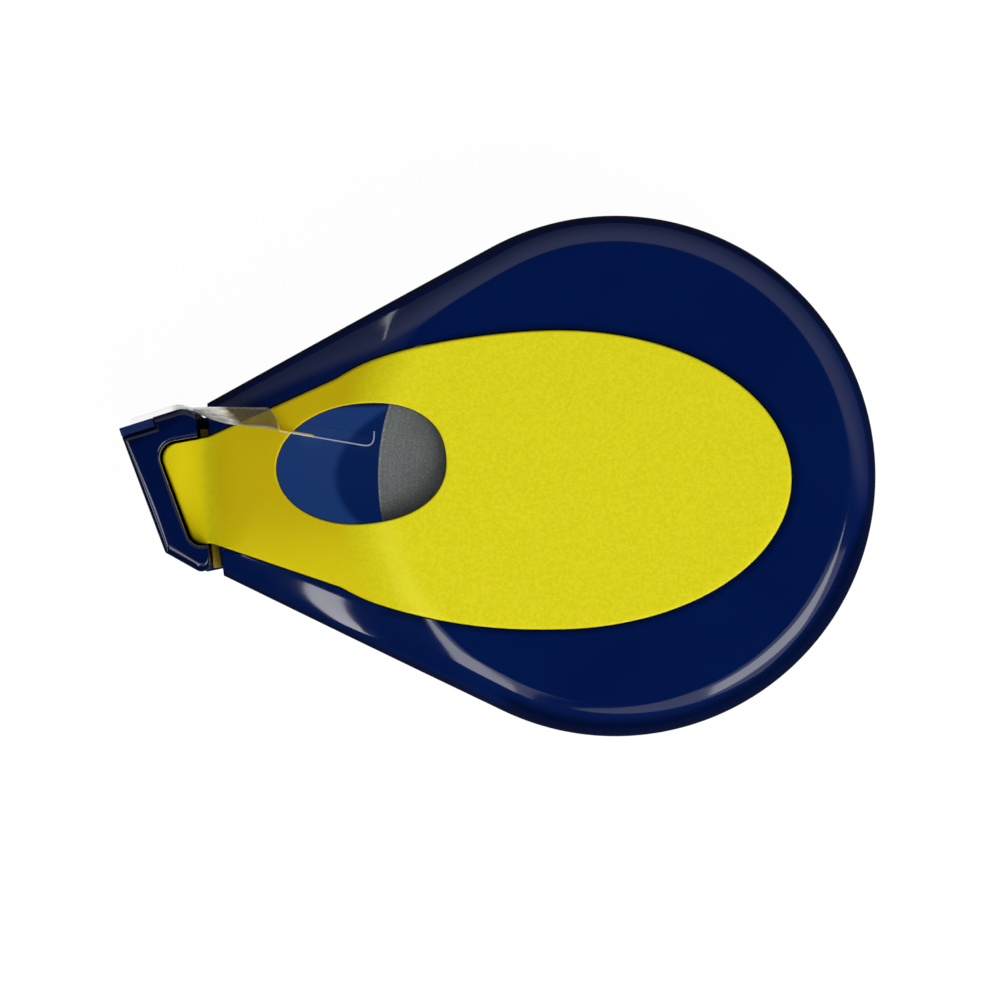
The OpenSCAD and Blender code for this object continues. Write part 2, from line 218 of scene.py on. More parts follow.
# painted glow for the light that the clear floor lets through under the window, darker, as painted shade, where the
# underside pad's oval lies behind it
under_window = lower_finish.band(x, -34.0, -33.0, -10.0, -8.0) * lower_finish.fade(y * y, 42, 50)
on_floor = lower_finish.band(z, 1.2, 1.5, 1.9, 2.4) * under_window
in_pad = lower_finish.fade(((x - palm_x) * (1 / palm_a)) ** 2 + ((y - palm_y) * (1 / palm_b)) ** 2, 0.93, 1.02)
# painted light: the floor under the window also gets a paler base colour; a random mottle runs everywhere
lower_finish.put(
    Base_Color=lower_finish.mix(on_floor * 0.7 + lower_finish.noise(7.0, 2.0) * 0.2, navy, pale_navy_glow_and_mottle),
    Emission_Color=lower_finish.mix(on_floor, (0, 0, 0), lower_finish.mix(in_pad * 0.95, floor_glow, pad_glow)),
    Roughness=lower_finish.noise(0.9, 4.0) * 0.06 + 0.10,
)
lower_finish.bump(lower_finish.noise(1.6, 2.0), 0.006)
lower_mesh = joined("base_shell", "lower_half")
lower_half = add_piece("lower_half", lower_mesh, lower_finish, "body", "navy_shell", "base_shell")
broken_edges(lower_half, 0.12)


# ---------------------------------------------------------------------------
# Underside pad
# A thin oval of the same yellow rubber as the thumb pad, glued into a recess
# under the floor, where the fingers hold.
# ---------------------------------------------------------------------------
def yellow(red, green, blue):
    """The rubber's yellow with its red and green multiplied, and a blue of its own."""
    return 0.715 * red, 0.660 * green, blue


def rubber(name):
    """Matt two-shot rubber with the fine even grain of an etched mould: specks, blotches and a broad change of
    tone. Painted shade deepens the slope's yellow, most on its upper side and middle, a painted sheen pales the
    bend where the drum's top turns into the slope, the nose's end is painted brighter and the ribs are painted with
    shade."""
    finish = Finish(name, IOR=1.45, Specular_IOR_Level=0.16)
    x, y, z = finish.axes()
    grain = finish.noise(0.16, 2.0, 0.6)
    speck, blotch = finish.ease(grain, 0.35, 0.65), finish.ease(finish.noise(0.38), 0.32, 0.68)
    mottle = speck * 0.4 + blotch * 0.4 + finish.noise(4.0) * 0.2
    skin = finish.mix(mottle, yellow(0.90, 0.885, 0.001), yellow(1.07, 1.065, 0.010))
    # painted highlight: a pale sheen on the bend where the drum's top turns into the slope, on the neck's side only
    bend_painted_sheen = finish.band(from_axis(x, y), 18.6, 20.2, 20.4, 22.0) * finish.fade(x, -12.0, -8.0) * (0.6 - y * 0.04)
    skin = finish.mix(bend_painted_sheen * 0.5, skin, (0.82, 0.76, 0.035))
    # painted shade: a deeper yellow over the slope, deepest on its upper side and middle, lighter low down
    slope_painted_shade = finish.mix(finish.fade(y, -8.0, -1.0), yellow(0.90, 0.70, 0.0004), yellow(1.08, 0.96, 0.001))
    skin = finish.mix(finish.band(z, 16.0, 16.9, 21.2, 22.5) * 0.8, skin, slope_painted_shade)
    # painted light: below the nose's bed, the nose's end of the pad and the underside pad are painted brighter
    skin = finish.mix(finish.fade(z, 15.9, 16.3), skin, yellow(1.20, 1.06, 0.001))
    # painted shade: the ribs down in the gap are painted a dull dark yellow
    ribs_painted_shade = finish.band(z, 9.5, 10.5, 14.4, 14.6)
    finish.put(
        Base_Color=finish.mix(ribs_painted_shade, skin, (0.30, 0.20, 0.012)),
        Roughness=finish.noise(0.5) * 0.12 + 0.46,
    )
    finish.bump(grain * 0.7 + finish.noise(0.4, 2.0) * 0.3, 0.012)
    return finish


palm_mesh = joined("palm_pad", "underside_pad")
palm_piece = add_piece("underside_pad", palm_mesh, rubber("matt_yellow_rubber"), "body", "yellow_grip", "palm_pad")
broken_edges(palm_piece, 0.2, 3)


# ---------------------------------------------------------------------------
# Reel hub
# A natural white plastic hub with a thin flange and six spokes, which turns
# freely on the spindle and is held down by the upper half.
# ---------------------------------------------------------------------------
hub_finish = Finish("natural_plastic", IOR=1.5)
hub_finish.put(
    Base_Color=hub_finish.mix(hub_finish.noise(6.0), (0.60, 0.62, 0.63), (0.70, 0.71, 0.71)),
    Roughness=hub_finish.noise(1.2) * 0.15 + 0.32,
)
hub_finish.bump(hub_finish.noise(0.5), 0.006)
hub_piece = add_piece("hub", joined("reel_hub", "hub"), hub_finish, "reel", "hub_plastic", "reel_hub")
broken_edges(hub_piece, 0.15)


# ---------------------------------------------------------------------------
# Core
# A spirally wound card tube, 25 mm inside, that the tape comes on. It slides
# over the hub.
# ---------------------------------------------------------------------------
def grid_mesh(name, surfaces):
    """One mesh from several grids of points. Each grid is rows x columns x 3, with a flag for rows that meet
    themselves and one for a last row that meets the first."""
    points, quads, start = [], [], 0
    for grid, around, through in surfaces:
        rows, cols = grid.shape[:2]
        down, across = np.arange(rows if through else rows - 1), np.arange(cols if around else cols - 1)
        i, j = np.meshgrid(down, across, indexing="ij")
        i1, j1 = (i + 1) % rows, (j + 1) % cols
        corners = np.stack([i * cols + j, i * cols + j1, i1 * cols + j1, i1 * cols + j], -1)
        quads.append(start + corners.reshape(-1, 4))
        points.append(grid.reshape(-1, 3))
        start += rows * cols
    points, quads = np.concatenate(points) * mm, np.concatenate(quads)
    mesh = bpy.data.meshes.new(name)
    mesh.vertices.add(len(points))
    mesh.vertices.foreach_set("co", points.astype(np.float32).ravel())
    mesh.loops.add(quads.size)
    mesh.loops.foreach_set("vertex_index", quads.astype(np.int32).ravel())
    mesh.polygons.add(len(quads))
    mesh.polygons.foreach_set("loop_start", np.arange(0, quads.size, 4, dtype=np.int32))
    mesh.update(calc_edges=True)
    mesh.validate()
    work = bmesh.new()
    work.from_mesh(mesh)
    bmesh.ops.remove_doubles(work, verts=work.verts, dist=merge_grid * mm)
    bmesh.ops.dissolve_degenerate(work, dist=too_short * mm, edges=work.edges)
    bmesh.ops.recalc_face_normals(work, faces=work.faces)
    work.to_mesh(mesh)
    work.free()
    mesh.shade_smooth()
    mesh.set_sharp_from_angle(angle=grid_crease)
    return mesh


def turned(profile, points=288):
    """A closed profile of (radius, height) points turned once round the drum's axis."""
    a = np.linspace(0, 2 * np.pi, points, endpoint=False)
    r, h = np.asarray(profile, float).T
    return np.stack([np.outer(r, np.cos(a)), np.outer(r, np.sin(a)), np.outer(h, np.ones(points))], -1)


core_bore, core_r, core_edge = 12.5, 13.7, 0.15
roll_r, roll_z, tape_w = 20.5, 2.34, 18.0
roll_top = roll_z + tape_w

core_finish = Finish("wound_card", IOR=1.4, Roughness=0.85, Specular_IOR_Level=0.2)
fibre = core_finish.noise(0.35, 5.0, 0.65)
card = core_finish.mix(fibre * 0.7 + core_finish.noise(3.0) * 0.3, (0.40, 0.33, 0.24), (0.62, 0.55, 0.44))
core_finish.put(Base_Color=card)
core_finish.bump(fibre, 0.02)
core_profile = [
    (core_bore, roll_z + core_edge), (core_bore + core_edge, roll_z), (core_r - core_edge, roll_z),
    (core_r, roll_z + core_edge), (core_r, roll_top - core_edge), (core_r - core_edge, roll_top),
    (core_bore + core_edge, roll_top), (core_bore, roll_top - core_edge),
]
core_mesh = grid_mesh("card_core", [(turned(core_profile), True, True)])
core_piece = add_piece("card_core", core_mesh, core_finish, "reel", "core_board", "roll_core")


# ---------------------------------------------------------------------------
# Roll of tape
# Clear film wound on the core. Its slit edges together make a frosted grey
# side with fine rings, and the outermost turn gives it a bright rim.
# ---------------------------------------------------------------------------
turn_r = np.linspace(core_r + 0.06, roll_r - 0.05, 90)
wander = 0.02 + 0.012 * np.sin(turn_r * 5.3) + 0.008 * np.sin(turn_r * 13.7 + 1.0)
lower_side = list(zip(turn_r, roll_z + wander))
upper_side = list(zip(turn_r[::-1], roll_top - wander[::-1]))
roll_profile = [
    (core_r + 0.02, roll_z + 0.05), *lower_side, (roll_r, roll_z + 0.08),
    (roll_r, roll_top - 0.08), *upper_side, (core_r + 0.02, roll_top - 0.05),
]

dark_frost, pale_frost = (0.034, 0.041, 0.042), (0.190, 0.210, 0.213)
glint, clear_rim = (0.30, 0.33, 0.37), (0.30, 0.32, 0.33)
roll_finish = Finish("wound_film", IOR=1.47, Specular_IOR_Level=0.5)
x, y, z = roll_finish.axes()
radius = from_axis(x, y)
speckle = roll_finish.noise(0.11, 2.0, 0.7)
rings = roll_finish.node("ShaderNodeTexNoise", {"noise_dimensions": "1D"},
    {"W": radius, "Scale": 7.0, "Detail": 4.0, "Roughness": 0.7})
shade = roll_finish.ease(speckle, 0.30, 0.72) * 0.45 + rings * 0.25 + roll_finish.noise(2.2, 2.0) * 0.3
sparkle = roll_finish.ease(roll_finish.noise(0.10, 0.0), 0.70, 0.78)
last_turns = roll_finish.ease(radius, roll_r - 0.30, roll_r - 0.04) * roll_finish.ease(speckle, 0.42, 0.6)
frost = roll_finish.mix(sparkle * 0.6 + last_turns * 0.7, roll_finish.mix(shade, dark_frost, pale_frost), glint)
outermost = roll_finish.ease(radius, roll_r - 0.06, roll_r + 0.02)
roll_finish.put(
    Base_Color=roll_finish.mix(outermost, frost, clear_rim),
    Roughness=0.5 - outermost * 0.35 + speckle * 0.1,
)
roll_finish.bump(rings * 0.5 + speckle * 0.5, 0.02)
roll_mesh = grid_mesh("tape_roll_wound", [(turned(roll_profile), True, True)])
roll_piece = add_piece("tape_roll_wound", roll_mesh, roll_finish, "reel", "tape_wound", "tape_roll")


# ---------------------------------------------------------------------------
# Upper half of the body
# The navy cover: a drum with a rolled shoulder that runs into the sloping
# neck, with a pocket for the thumb pad and an egg-shaped window. It snaps over
# the lower half's lip.
# ---------------------------------------------------------------------------
drum_r, drum_h, wall, part_z, roof_z = 22.5, 22.59, 1.5, 9.0, 20.89
neck_len, neck_end, gap_half, gap_lean = 35.25, 7.25, 0.5, math.radians(4.1)
neck_angle = math.asin(drum_r / math.hypot(neck_len, neck_end)) - math.atan2(neck_end, neck_len)
apex = drum_r / math.sin(neck_angle)
# the face: flat inside bend_r, then a bend, the ramp and a run-out on each side of ramp_end
bend_r, bend_w, ramp, run_out = 19.6, 4.0, math.tan(math.radians(25)), 1.2
bend_drop = bend_w * ramp / 2
ramp_end = neck_len + run_out
nose_z = drum_h - bend_drop - (ramp_end - bend_r - bend_w) * ramp
# width and depth of the rolled edge on the drum and on the neck, and the length over which one becomes the other
drum_edge, neck_edge, edge_grows = (2.9, 2.4), (3.3, 1.5), 14.0
# the angle off +X, in degrees, from which the slope comes in, and over how many
slope_from, slope_over = 97, 26
# the window: its centre, its half axes, the power that makes it fuller towards the drum, and its lean
win_x, win_y, win_a, win_b, win_fuller, win_lean = -21.95, 1.6, 7.35, 5.15, 0.87, math.radians(4.5)
# the pad: where it is widest, its half width and two half lengths, where the taper starts, its end in the nose,
# how its drum end is pulled out of the oval, and its waist
pad_x, pad_b, pad_right, pad_left, taper_x, pad_end, pad_end_low = -5.2, 12.9, 20.9, 27.0, -24.0, 4.3, 4.9
pull_in, pull_down, pull_from, pull_over = 0.52, 0.20, 2, 12
waist_x, waist_w, waist_in = -24.6, 2.0, 0.033
pad_t, pad_proud, seat_gap, pocket_gap = 1.0, 0.1, 0.1, 0.05
# the nose's tip, the lean and thickness of its front wall, and the rounded corners of the pad's end inside it
tip, front_lean, nose_wall = np.array([-42.85, 5.24]), math.radians(19.1), 2.45
end_up, end_low, end_r = 3.6, 5.3, 1.3


def slope_height(r):
    """Flat over the drum, a short bend, a straight fall away from the axis, and a short run-out on to the nose."""
    bend = drum_h - bend_drop * ((r - bend_r) / bend_w) ** 2
    fall = drum_h - bend_drop - (r - bend_r - bend_w) * ramp
    end = nose_z + run_out * ramp * np.clip(1 - (r - ramp_end + run_out) / (2 * run_out), 0, 1) ** 2
    off_drum = np.where(r < bend_r + bend_w, bend, np.where(r < ramp_end - run_out, fall, end))
    return np.where(r < bend_r, drum_h, off_drum)


def slope_at(plan):
    """The slope's height at plan points."""
    return slope_height(np.hypot(plan[..., 0], plan[..., 1]))


def smooth(t):
    """The even S-curve 3 t squared - 2 t cubed."""
    return t**2 * (3 - 2 * t)


def cover_height(plan):
    """Flat on the drum and the slope on the neck's side, less an elliptical edge that follows the whole outline and
    grows wider and flatter along the neck."""
    x, y = plan[..., 0], np.abs(plan[..., 1])
    past_drum = -x * math.cos(neck_angle) - y * math.sin(neck_angle)
    across_neck = -x * math.sin(neck_angle) + y * math.cos(neck_angle)
    d = drum_r - np.where(past_drum > 0, across_neck, np.hypot(x, y))
    along = np.clip(past_drum / edge_grows, 0, 1)
    width, depth = [at_drum + (at_neck - at_drum) * along for at_drum, at_neck in zip(drum_edge, neck_edge)]
    round_to_neck = np.clip((np.degrees(np.arctan2(y, x)) - slope_from) / slope_over, 0, 1)
    fall = (drum_h - slope_at(plan)) * smooth(round_to_neck)
    return drum_h - fall - depth * (1 - np.sqrt(1 - np.clip(1 - d / width, 0, 1) ** 2))


def even(points, count, closed=False):
    """The same line with its points at equal steps along it."""
    points = np.asarray(points, float)
    if closed:
        points = np.vstack([points, points[:1]])
    s = np.concatenate([[0], np.cumsum(np.hypot(*np.diff(points, axis=0).T))])
    t = np.linspace(0, s[-1], count, endpoint=not closed)
    return np.stack([np.interp(t, s, points[:, k]) for k in (0, 1)], -1)


def arc(centre, r, angles):
    """Points at those angles on a circle of radius r."""
    return np.asarray(centre) + r * np.stack([np.cos(angles), np.sin(angles)], -1)


def side_line(inset, side, x0):
    """The neck's side at x0, moved in by inset."""
    return np.array([x0, side * ((x0 + apex) * math.tan(neck_angle) - inset / math.cos(neck_angle))])


def gap_x(y, offset):
    """The gap's leaning line at height y, moved along the body by offset."""
    return -neck_len + offset / math.cos(gap_lean) - y * math.tan(gap_lean)


def gap_corner(inset, side):
    """Where the neck's side meets the gap, both moved in by inset, found by going to and fro between them."""
    y = 7.0 * side
    for _ in range(12):
        y = side_line(inset, side, gap_x(y, gap_half + inset))[1]
    return np.array([gap_x(y, gap_half + inset), y])


def body_line(inset, count):
    """The body's outline from the gap's lower corner round the drum to its upper corner, moved in by inset."""
    a = np.linspace(-np.pi / 2 - neck_angle, np.pi / 2 + neck_angle, 400)
    return even(np.vstack([gap_corner(inset, -1), arc((0, 0), drum_r - inset, a), gap_corner(inset, 1)]), count)


def corner_round(a, c, b, r, points=10):
    """A radius r at the corner c between the directions of a and b, round a centre on the line that halves it."""
    a, c, b = [np.asarray(p, float) for p in (a, c, b)]
    u, v = (a - c) / np.linalg.norm(a - c), (b - c) / np.linalg.norm(b - c)
    half = math.acos(np.clip(u @ v, -1, 1)) / 2
    centre = c + (u + v) / np.linalg.norm(u + v) * r / math.sin(half)
    first, last = c + u * r / math.tan(half) - centre, c + v * r / math.tan(half) - centre
    sweep = math.atan2(first[0] * last[1] - first[1] * last[0], first @ last)
    return arc(centre, r, math.atan2(first[1], first[0]) + sweep * np.linspace(0, 1, points))


def front_x(y, d):
    """The line inside the nose's leaning front wall."""
    nx, ny = -math.cos(front_lean), -math.sin(front_lean)
    return (tip @ (nx, ny) - nose_wall - d - y * ny) / nx


def pad_outline(g):
    """A half oval on the drum, a longer half oval towards the neck, and a square end with rounded corners in the
    nose, all moved out by g. The drum's end is pulled in and to one side, and the waist is drawn in a little."""
    a = np.radians(np.linspace(90, 0, 60))
    drum_end = np.stack([pad_x + (pad_right + g) * np.sin(a), (pad_b + g) * np.cos(a)], -1)
    left = np.linspace(pad_x, taper_x, 40)[1:]
    taper = np.stack([left, pad_b * np.sqrt(1 - ((left - pad_x) / pad_left) ** 2) + g], -1)
    upper = np.vstack([drum_end, taper])
    top_end, low_end = (-neck_len, pad_end + g), (-neck_len, -pad_end_low - g)
    top_c, low_c = (front_x(end_up, -g), end_up + g), (front_x(-end_low, -g), -end_low - g)
    top_round = corner_round(top_end, top_c, low_c, end_r + g)
    low_round = corner_round(top_c, low_c, low_end, end_r + g)
    x, y = np.vstack([upper, [top_end], top_round, low_round, [low_end], upper[:0:-1] * (1, -1)]).T
    right = np.clip((x - pad_x) / pad_right, 0, None)
    past_taper = smooth(np.clip((x - taper_x - pull_from) / pull_over, 0, 1))
    waist = waist_in * np.exp(-(((x - waist_x) / waist_w) ** 2))
    return np.stack([x - pull_in * right**2, y * (1 - waist) - pull_down * past_taper - pull_down * right], -1)


def window_outline(g, count):
    """A leaning oval, fuller towards the drum, moved out by g."""
    a = np.linspace(0, 2 * np.pi, count, endpoint=False)
    p = np.where(np.cos(a) > 0, win_fuller, 1.0)
    u = (win_a + g) * np.sign(np.cos(a)) * np.abs(np.cos(a)) ** p
    v = (win_b + g) * np.sign(np.sin(a)) * np.abs(np.sin(a)) ** p
    c, s = math.cos(win_lean), math.sin(win_lean)
    return np.stack([win_x + u * c - v * s, win_y + u * s + v * c], -1)


def lift(plan, height):
    """Plan points at a height, which is a number or one value a point."""
    column = np.asarray(height, float)[..., None] if np.ndim(height) else height
    return np.concatenate([plan, np.broadcast_to(column, plan.shape[:-1] + (1,))], -1)


def between(a, b, shares):
    """Rows of points on the straight lines from line a to line b, one row for each share of the way."""
    return np.stack([a * (1 - t) + b * t for t in shares])


def upright(line, low, high, shares):
    """A wall that stands on a line, one row for each share of the way from the height low to the height high."""
    return np.stack([lift(line, low + t * (high - low)) for t in shares])


def swept(line, centre):
    """How far round a centre each point of a line has gone, as a share of the line's whole sweep."""
    angle = np.unwrap(np.arctan2(line[:, 1] - centre[1], line[:, 0] - centre[0]))
    return (angle - angle[0]) / (angle[-1] - angle[0])


def matched(line, other, centre):
    """The points of another line that have gone the same share of their sweep as the points of this one."""
    return np.stack([np.interp(swept(line, centre), swept(other, centre), other[:, k]) for k in (0, 1)], -1)


def cast(outline, angles):
    """Where rays from the window's centre, at those angles, meet a closed outline."""
    found = np.arctan2(outline[:, 1] - win_y, outline[:, 0] - win_x)
    order = np.argsort(found)
    return np.stack([np.interp(angles, found[order], outline[order, k], period=2 * np.pi) for k in (0, 1)], -1)


def gap_cut(a, b):
    """Where the line from a to b crosses the gap's edge."""
    fa, fb = [p[0] - gap_x(p[1], gap_half) for p in (a, b)]
    return a + (b - a) * fa / (fa - fb)


def closed_off(line):
    """A body line closed with a straight row of points along the gap."""
    return np.vstack([line, even([line[-1], line[0]], 60)[1:-1]])


def sheets(*grids):
    """Grids with four free edges."""
    return [(grid, False, False) for grid in grids]


def hoops(*grids):
    """Grids whose rows run round and meet themselves."""
    return [(grid, True, False) for grid in grids]


def even_shares(count):
    """Shares from 0 to 1."""
    return np.linspace(0, 1, count)


# the top: from the body's outline in to the pocket's edge, which ends where it meets the gap
outline_points, seam_z, lip_z, shoulder_share, roof_t = 700, part_z + 0.03, part_z + 1.3, 0.42, 1.7
outer = body_line(0, outline_points)
pocket_edge = pad_outline(seat_gap)
keep = pocket_edge[:, 0] > gap_x(pocket_edge[:, 1], gap_half)
first, last = int(np.argmax(~keep)), len(keep) - 1 - int(np.argmax(~keep[::-1]))
run = np.vstack([
    gap_cut(pocket_edge[last], pocket_edge[(last + 1) % len(keep)]), pocket_edge[keep][first:],
    pocket_edge[keep][:first], gap_cut(pocket_edge[first - 1], pocket_edge[first]),
])
inner = matched(outer, even(run, 4001), (-8, 0))
shoulder = (1 - np.cos(np.linspace(0, np.pi / 2, 34))) * shoulder_share
top_plan = between(outer, inner, np.concatenate([shoulder, np.linspace(shoulder_share, 1, 26)[1:]]))
top_grid = lift(top_plan, cover_height(top_plan))


def pocket_floor(plan):
    """The pocket follows the slope, one pad's thickness down."""
    return slope_at(plan) - pad_t - pocket_gap


def under_roof(plan):
    """The roof's underside: level over the drum, and under the slope beside it."""
    return np.where(np.hypot(plan[..., 0], plan[..., 1]) < drum_r - wall, roof_z, slope_at(plan) - roof_t)


wall_grid = upright(outer, seam_z, top_grid[0, :, 2], even_shares(6))
pocket_grid = upright(inner, pocket_floor(inner), top_grid[-1, :, 2], even_shares(4)[::-1])

# the wall that closes the neck at the gap, with the pocket's notch in its top
edge_a, edge_b = outer[-1], outer[0]
notch = [(inner[k] - edge_a) @ (edge_b - edge_a) / ((edge_b - edge_a) @ (edge_b - edge_a)) for k in (-1, 0)]
s = np.sort(np.concatenate([even_shares(120)] + [[share - 1e-4, share + 1e-4] for share in notch]))
edge = edge_a + (edge_b - edge_a) * s[:, None]
edge_top = np.where((s > notch[0]) & (s < notch[1]), pocket_floor(edge), cover_height(edge))
end_grid = upright(edge, seam_z, edge_top, even_shares(8))

# the inside: pocket floor, window, underside of the roof, inner wall and rim
full_in, full_rim = closed_off(inner), closed_off(outer)
full_mid, full_out = closed_off(body_line(wall / 2, outline_points)), closed_off(body_line(wall, outline_points))
window_in = cast(window_outline(0, 1440), np.arctan2(full_in[:, 1] - win_y, full_in[:, 0] - win_x))
floor_plan, roof_plan = between(full_in, window_in, even_shares(14)), between(window_in, full_out, even_shares(14))
floor_grid, roof_grid = lift(floor_plan, pocket_floor(floor_plan)), lift(roof_plan, under_roof(roof_plan))
hole_grid = np.stack([lift(window_in, pocket_floor(window_in)), lift(window_in, under_roof(window_in))])
inside_grid = np.stack([
    lift(full_out, under_roof(full_out)), lift(full_out, lip_z),
    lift(full_mid, lip_z), lift(full_mid, seam_z), lift(full_rim, seam_z),
])
collar = [
    (4.1, roof_z + 0.3), (4.1, 18.3), (4.25, 18.14), (5.15, 18.14),
    (5.3, 18.3), (5.3, roof_z - 0.3), (5.6, roof_z), (5.6, roof_z + 0.3),
]


def glossy_navy(name, shade=0.0):
    """Polished navy plastic, a touch uneven as mouldings are, with faint hairline wear. Painted shade darkens it
    beside the pad and along the outline, where it starts farther out on the drum's upper side. Shade darkens it
    all."""
    finish = Finish(name, IOR=1.49, Specular_IOR_Level=0.5, Coat_Weight=0.15, Coat_Roughness=0.05)
    x, y, z = finish.axes()
    # 1 on the pad's own outline, less inside it
    ends = {"From Min": pad_x - 0.1, "From Max": pad_x + 0.1, "To Min": 1 / pad_left, "To Max": 1 / pad_right}
    half = finish.node("ShaderNodeMapRange", {"interpolation_type": "LINEAR"}, {"Value": x, **ends})
    right = ((x - pad_x) * (1 / pad_right)).at_least(0)
    pad_along = (x + right * right * pull_in - pad_x) * half
    pad_across = (y + right * pull_down + pull_down) * (1 / pad_b)
    oval = from_axis(pad_along, pad_across)
    # painted shadow: a dark band hugging the pad's outline on the drum's top
    pad_painted_shadow = finish.fade(oval, 1.015, 1.05) * finish.ease(z, drum_h - 1.0, drum_h - 0.5)
    # painted shade along the outline, on the neck's sides and round the drum, starting farther out on the drum's
    # upper side
    side = (x + apex) * math.sin(neck_angle) - abs(y) * math.cos(neck_angle)
    on_neck = finish.fade(x, -11.0, -9.0)
    upper_side = finish.ease(y * 0.95 + x * 0.31, -2.0, 6.0)
    neck_rim, drum_rim = finish.fade(side, 0.0, 0.7), finish.ease(from_axis(x, y) - upper_side * 0.9, 20.7, 21.5)
    rim_painted_shade = neck_rim * on_neck + drum_rim * (1 - on_neck)
    dark = pad_painted_shadow * 0.5 + rim_painted_shade * (0.75 - shade) + shade
    blue = finish.mix(finish.noise(9.0, 2.0), (0.0002, 0.0062, 0.057), (0.0013, 0.0106, 0.078))
    wear = finish.ease(finish.hairlines(0.5, (300, 7000, 300), 2.0), 0.68, 0.76)
    finish.put(
        Base_Color=finish.mix(dark, blue, (0.0002, 0.0020, 0.016)),
        Roughness=wear * 0.08 + finish.noise(2.5) * 0.03 + 0.055,
    )
    finish.bump(finish.noise(5.0, 1.0), 0.012)
    return finish


cover_mesh = grid_mesh("upper_half", sheets(top_grid, wall_grid, pocket_grid, end_grid)
    + hoops(floor_grid, hole_grid, roof_grid, inside_grid, turned(collar, 96)))
upper_half = add_piece("upper_half", cover_mesh, glossy_navy("polished_navy"), "cover", "navy_shell", "cover_shell")


# ---------------------------------------------------------------------------
# Thumb pad
# Matt yellow rubber moulded into the pocket. It follows the slope, turns round
# the window's edge, runs over the gap into the nose, and two ribs under it
# grip the gap's walls.
# ---------------------------------------------------------------------------
def rolled(d, r):
    """Height lost by a quarter-round edge of radius r at distance d in from it."""
    d = np.clip(d, 0, r)
    return r - np.sqrt(np.maximum(r * r - (r - d) ** 2, 0))


def edged_shares(span, first_edge, last_edge, middle_rows):
    """Shares of the way across a band of that width: rows crowd towards both rolled edges, and are even between."""
    crowd = 1 - np.cos(np.linspace(0, np.pi / 2, 9))[:, None, None]
    near_first, near_last = first_edge * crowd / span, 1 - last_edge * crowd[::-1] / span
    even_rows = near_first[-1:] + (near_last[:1] - near_first[-1:]) * even_shares(middle_rows)[1:-1, None, None]
    return np.concatenate([near_first, even_rows, near_last])


theta = np.linspace(-np.pi, np.pi, 900, endpoint=False)
rim_out = cast(even(pad_outline(0), 6000, True), theta)
rim_in = cast(even(window_outline(0.05, 2000), 6000, True), theta)
pad_span = np.hypot(*(rim_out - rim_in).T)[None, :, None]
edge_out, edge_in = 0.30, 0.15
shares = edged_shares(pad_span, edge_in, edge_out, 52)
plan = between(rim_in, rim_out, shares)
to_window, to_rim = [(way * pad_span)[..., 0] for way in (shares, 1 - shares)]
pad_skin = lift(plan, slope_at(plan) + pad_proud - rolled(to_window, edge_in) - rolled(to_rim, edge_out))
back = lift(plan, slope_at(plan) - pad_t)
pad_grid = np.concatenate([pad_skin, back[::-6], back[:1]])


def rounded_box(x0, x1, y0, y1, z0, z1, lean, r=0.12):
    """A closed bar with softened edges, leaning like the gap: rounded outlines, smaller towards its ends."""
    corners = ((x1 - r, y1 - r, 0), (x0 + r, y1 - r, 90), (x0 + r, y0 + r, 180), (x1 - r, y0 + r, 270))
    ring = np.vstack([arc((cx, cy), r, np.radians(a0 + np.linspace(0, 90, 5))) for cx, cy, a0 in corners])
    c, s = math.cos(lean), math.sin(lean)
    rows = []
    for h, k in ((z0, 0.001), (z0, 0.8), (z0 + r * 0.3, 0.94), (z0 + r, 1), (z1 - r, 1), (z1, 0.8), (z1, 0.001)):
        x, y = (ring.mean(0) + (ring - ring.mean(0)) * k).T
        rows.append(lift(np.stack([-neck_len + x * c - y * s, x * s + y * c], -1), h))
    return np.stack(rows)


rib_half = gap_half - 0.15
ribs = rounded_box(-rib_half, rib_half, -7.1, 5.0, nose_z - 8, nose_z - pad_t - 0.3, gap_lean)
pad_mesh = grid_mesh("thumb_grip", [(pad_grid, True, True)] + hoops(ribs))
thumb_grip = add_piece("thumb_grip", pad_mesh, rubber("thumb_rubber"), "cover", "yellow_grip", "thumb_pad")


# ---------------------------------------------------------------------------
# Nose
# The C-shaped navy head in front of the gap. It is pressed on two pegs of the
# lower half, stands up round the pad's end and holds the cutter in a slot.
# ---------------------------------------------------------------------------
front_d, nose_h, nose_base, corner_r, edge_r, lip_r = 11.5, drum_h - 3, 1.63, 2.0, 0.65, 0.3
cutter_l, cutter_t = 3.0, 0.8
slot_l, slot_t = cutter_l + 0.08, cutter_t + 0.03
nose_floor = nose_z - pad_t - pocket_gap
down_front = np.array([math.sin(front_lean), -math.cos(front_lean)])
heel, toe = tip + front_d * down_front, np.array([-neck_len - 0.1, -neck_end - 0.6])
corner = np.array([-neck_len - 0.1 - corner_r, neck_end - 0.5 - corner_r])
wall_a = math.atan2(corner[1] - tip[1], corner[0] - tip[0]) + math.asin(corner_r / np.linalg.norm(corner - tip))
along_wall = np.array([math.cos(wall_a), math.sin(wall_a)])
into_wall = np.array([math.sin(wall_a), -math.cos(wall_a)])

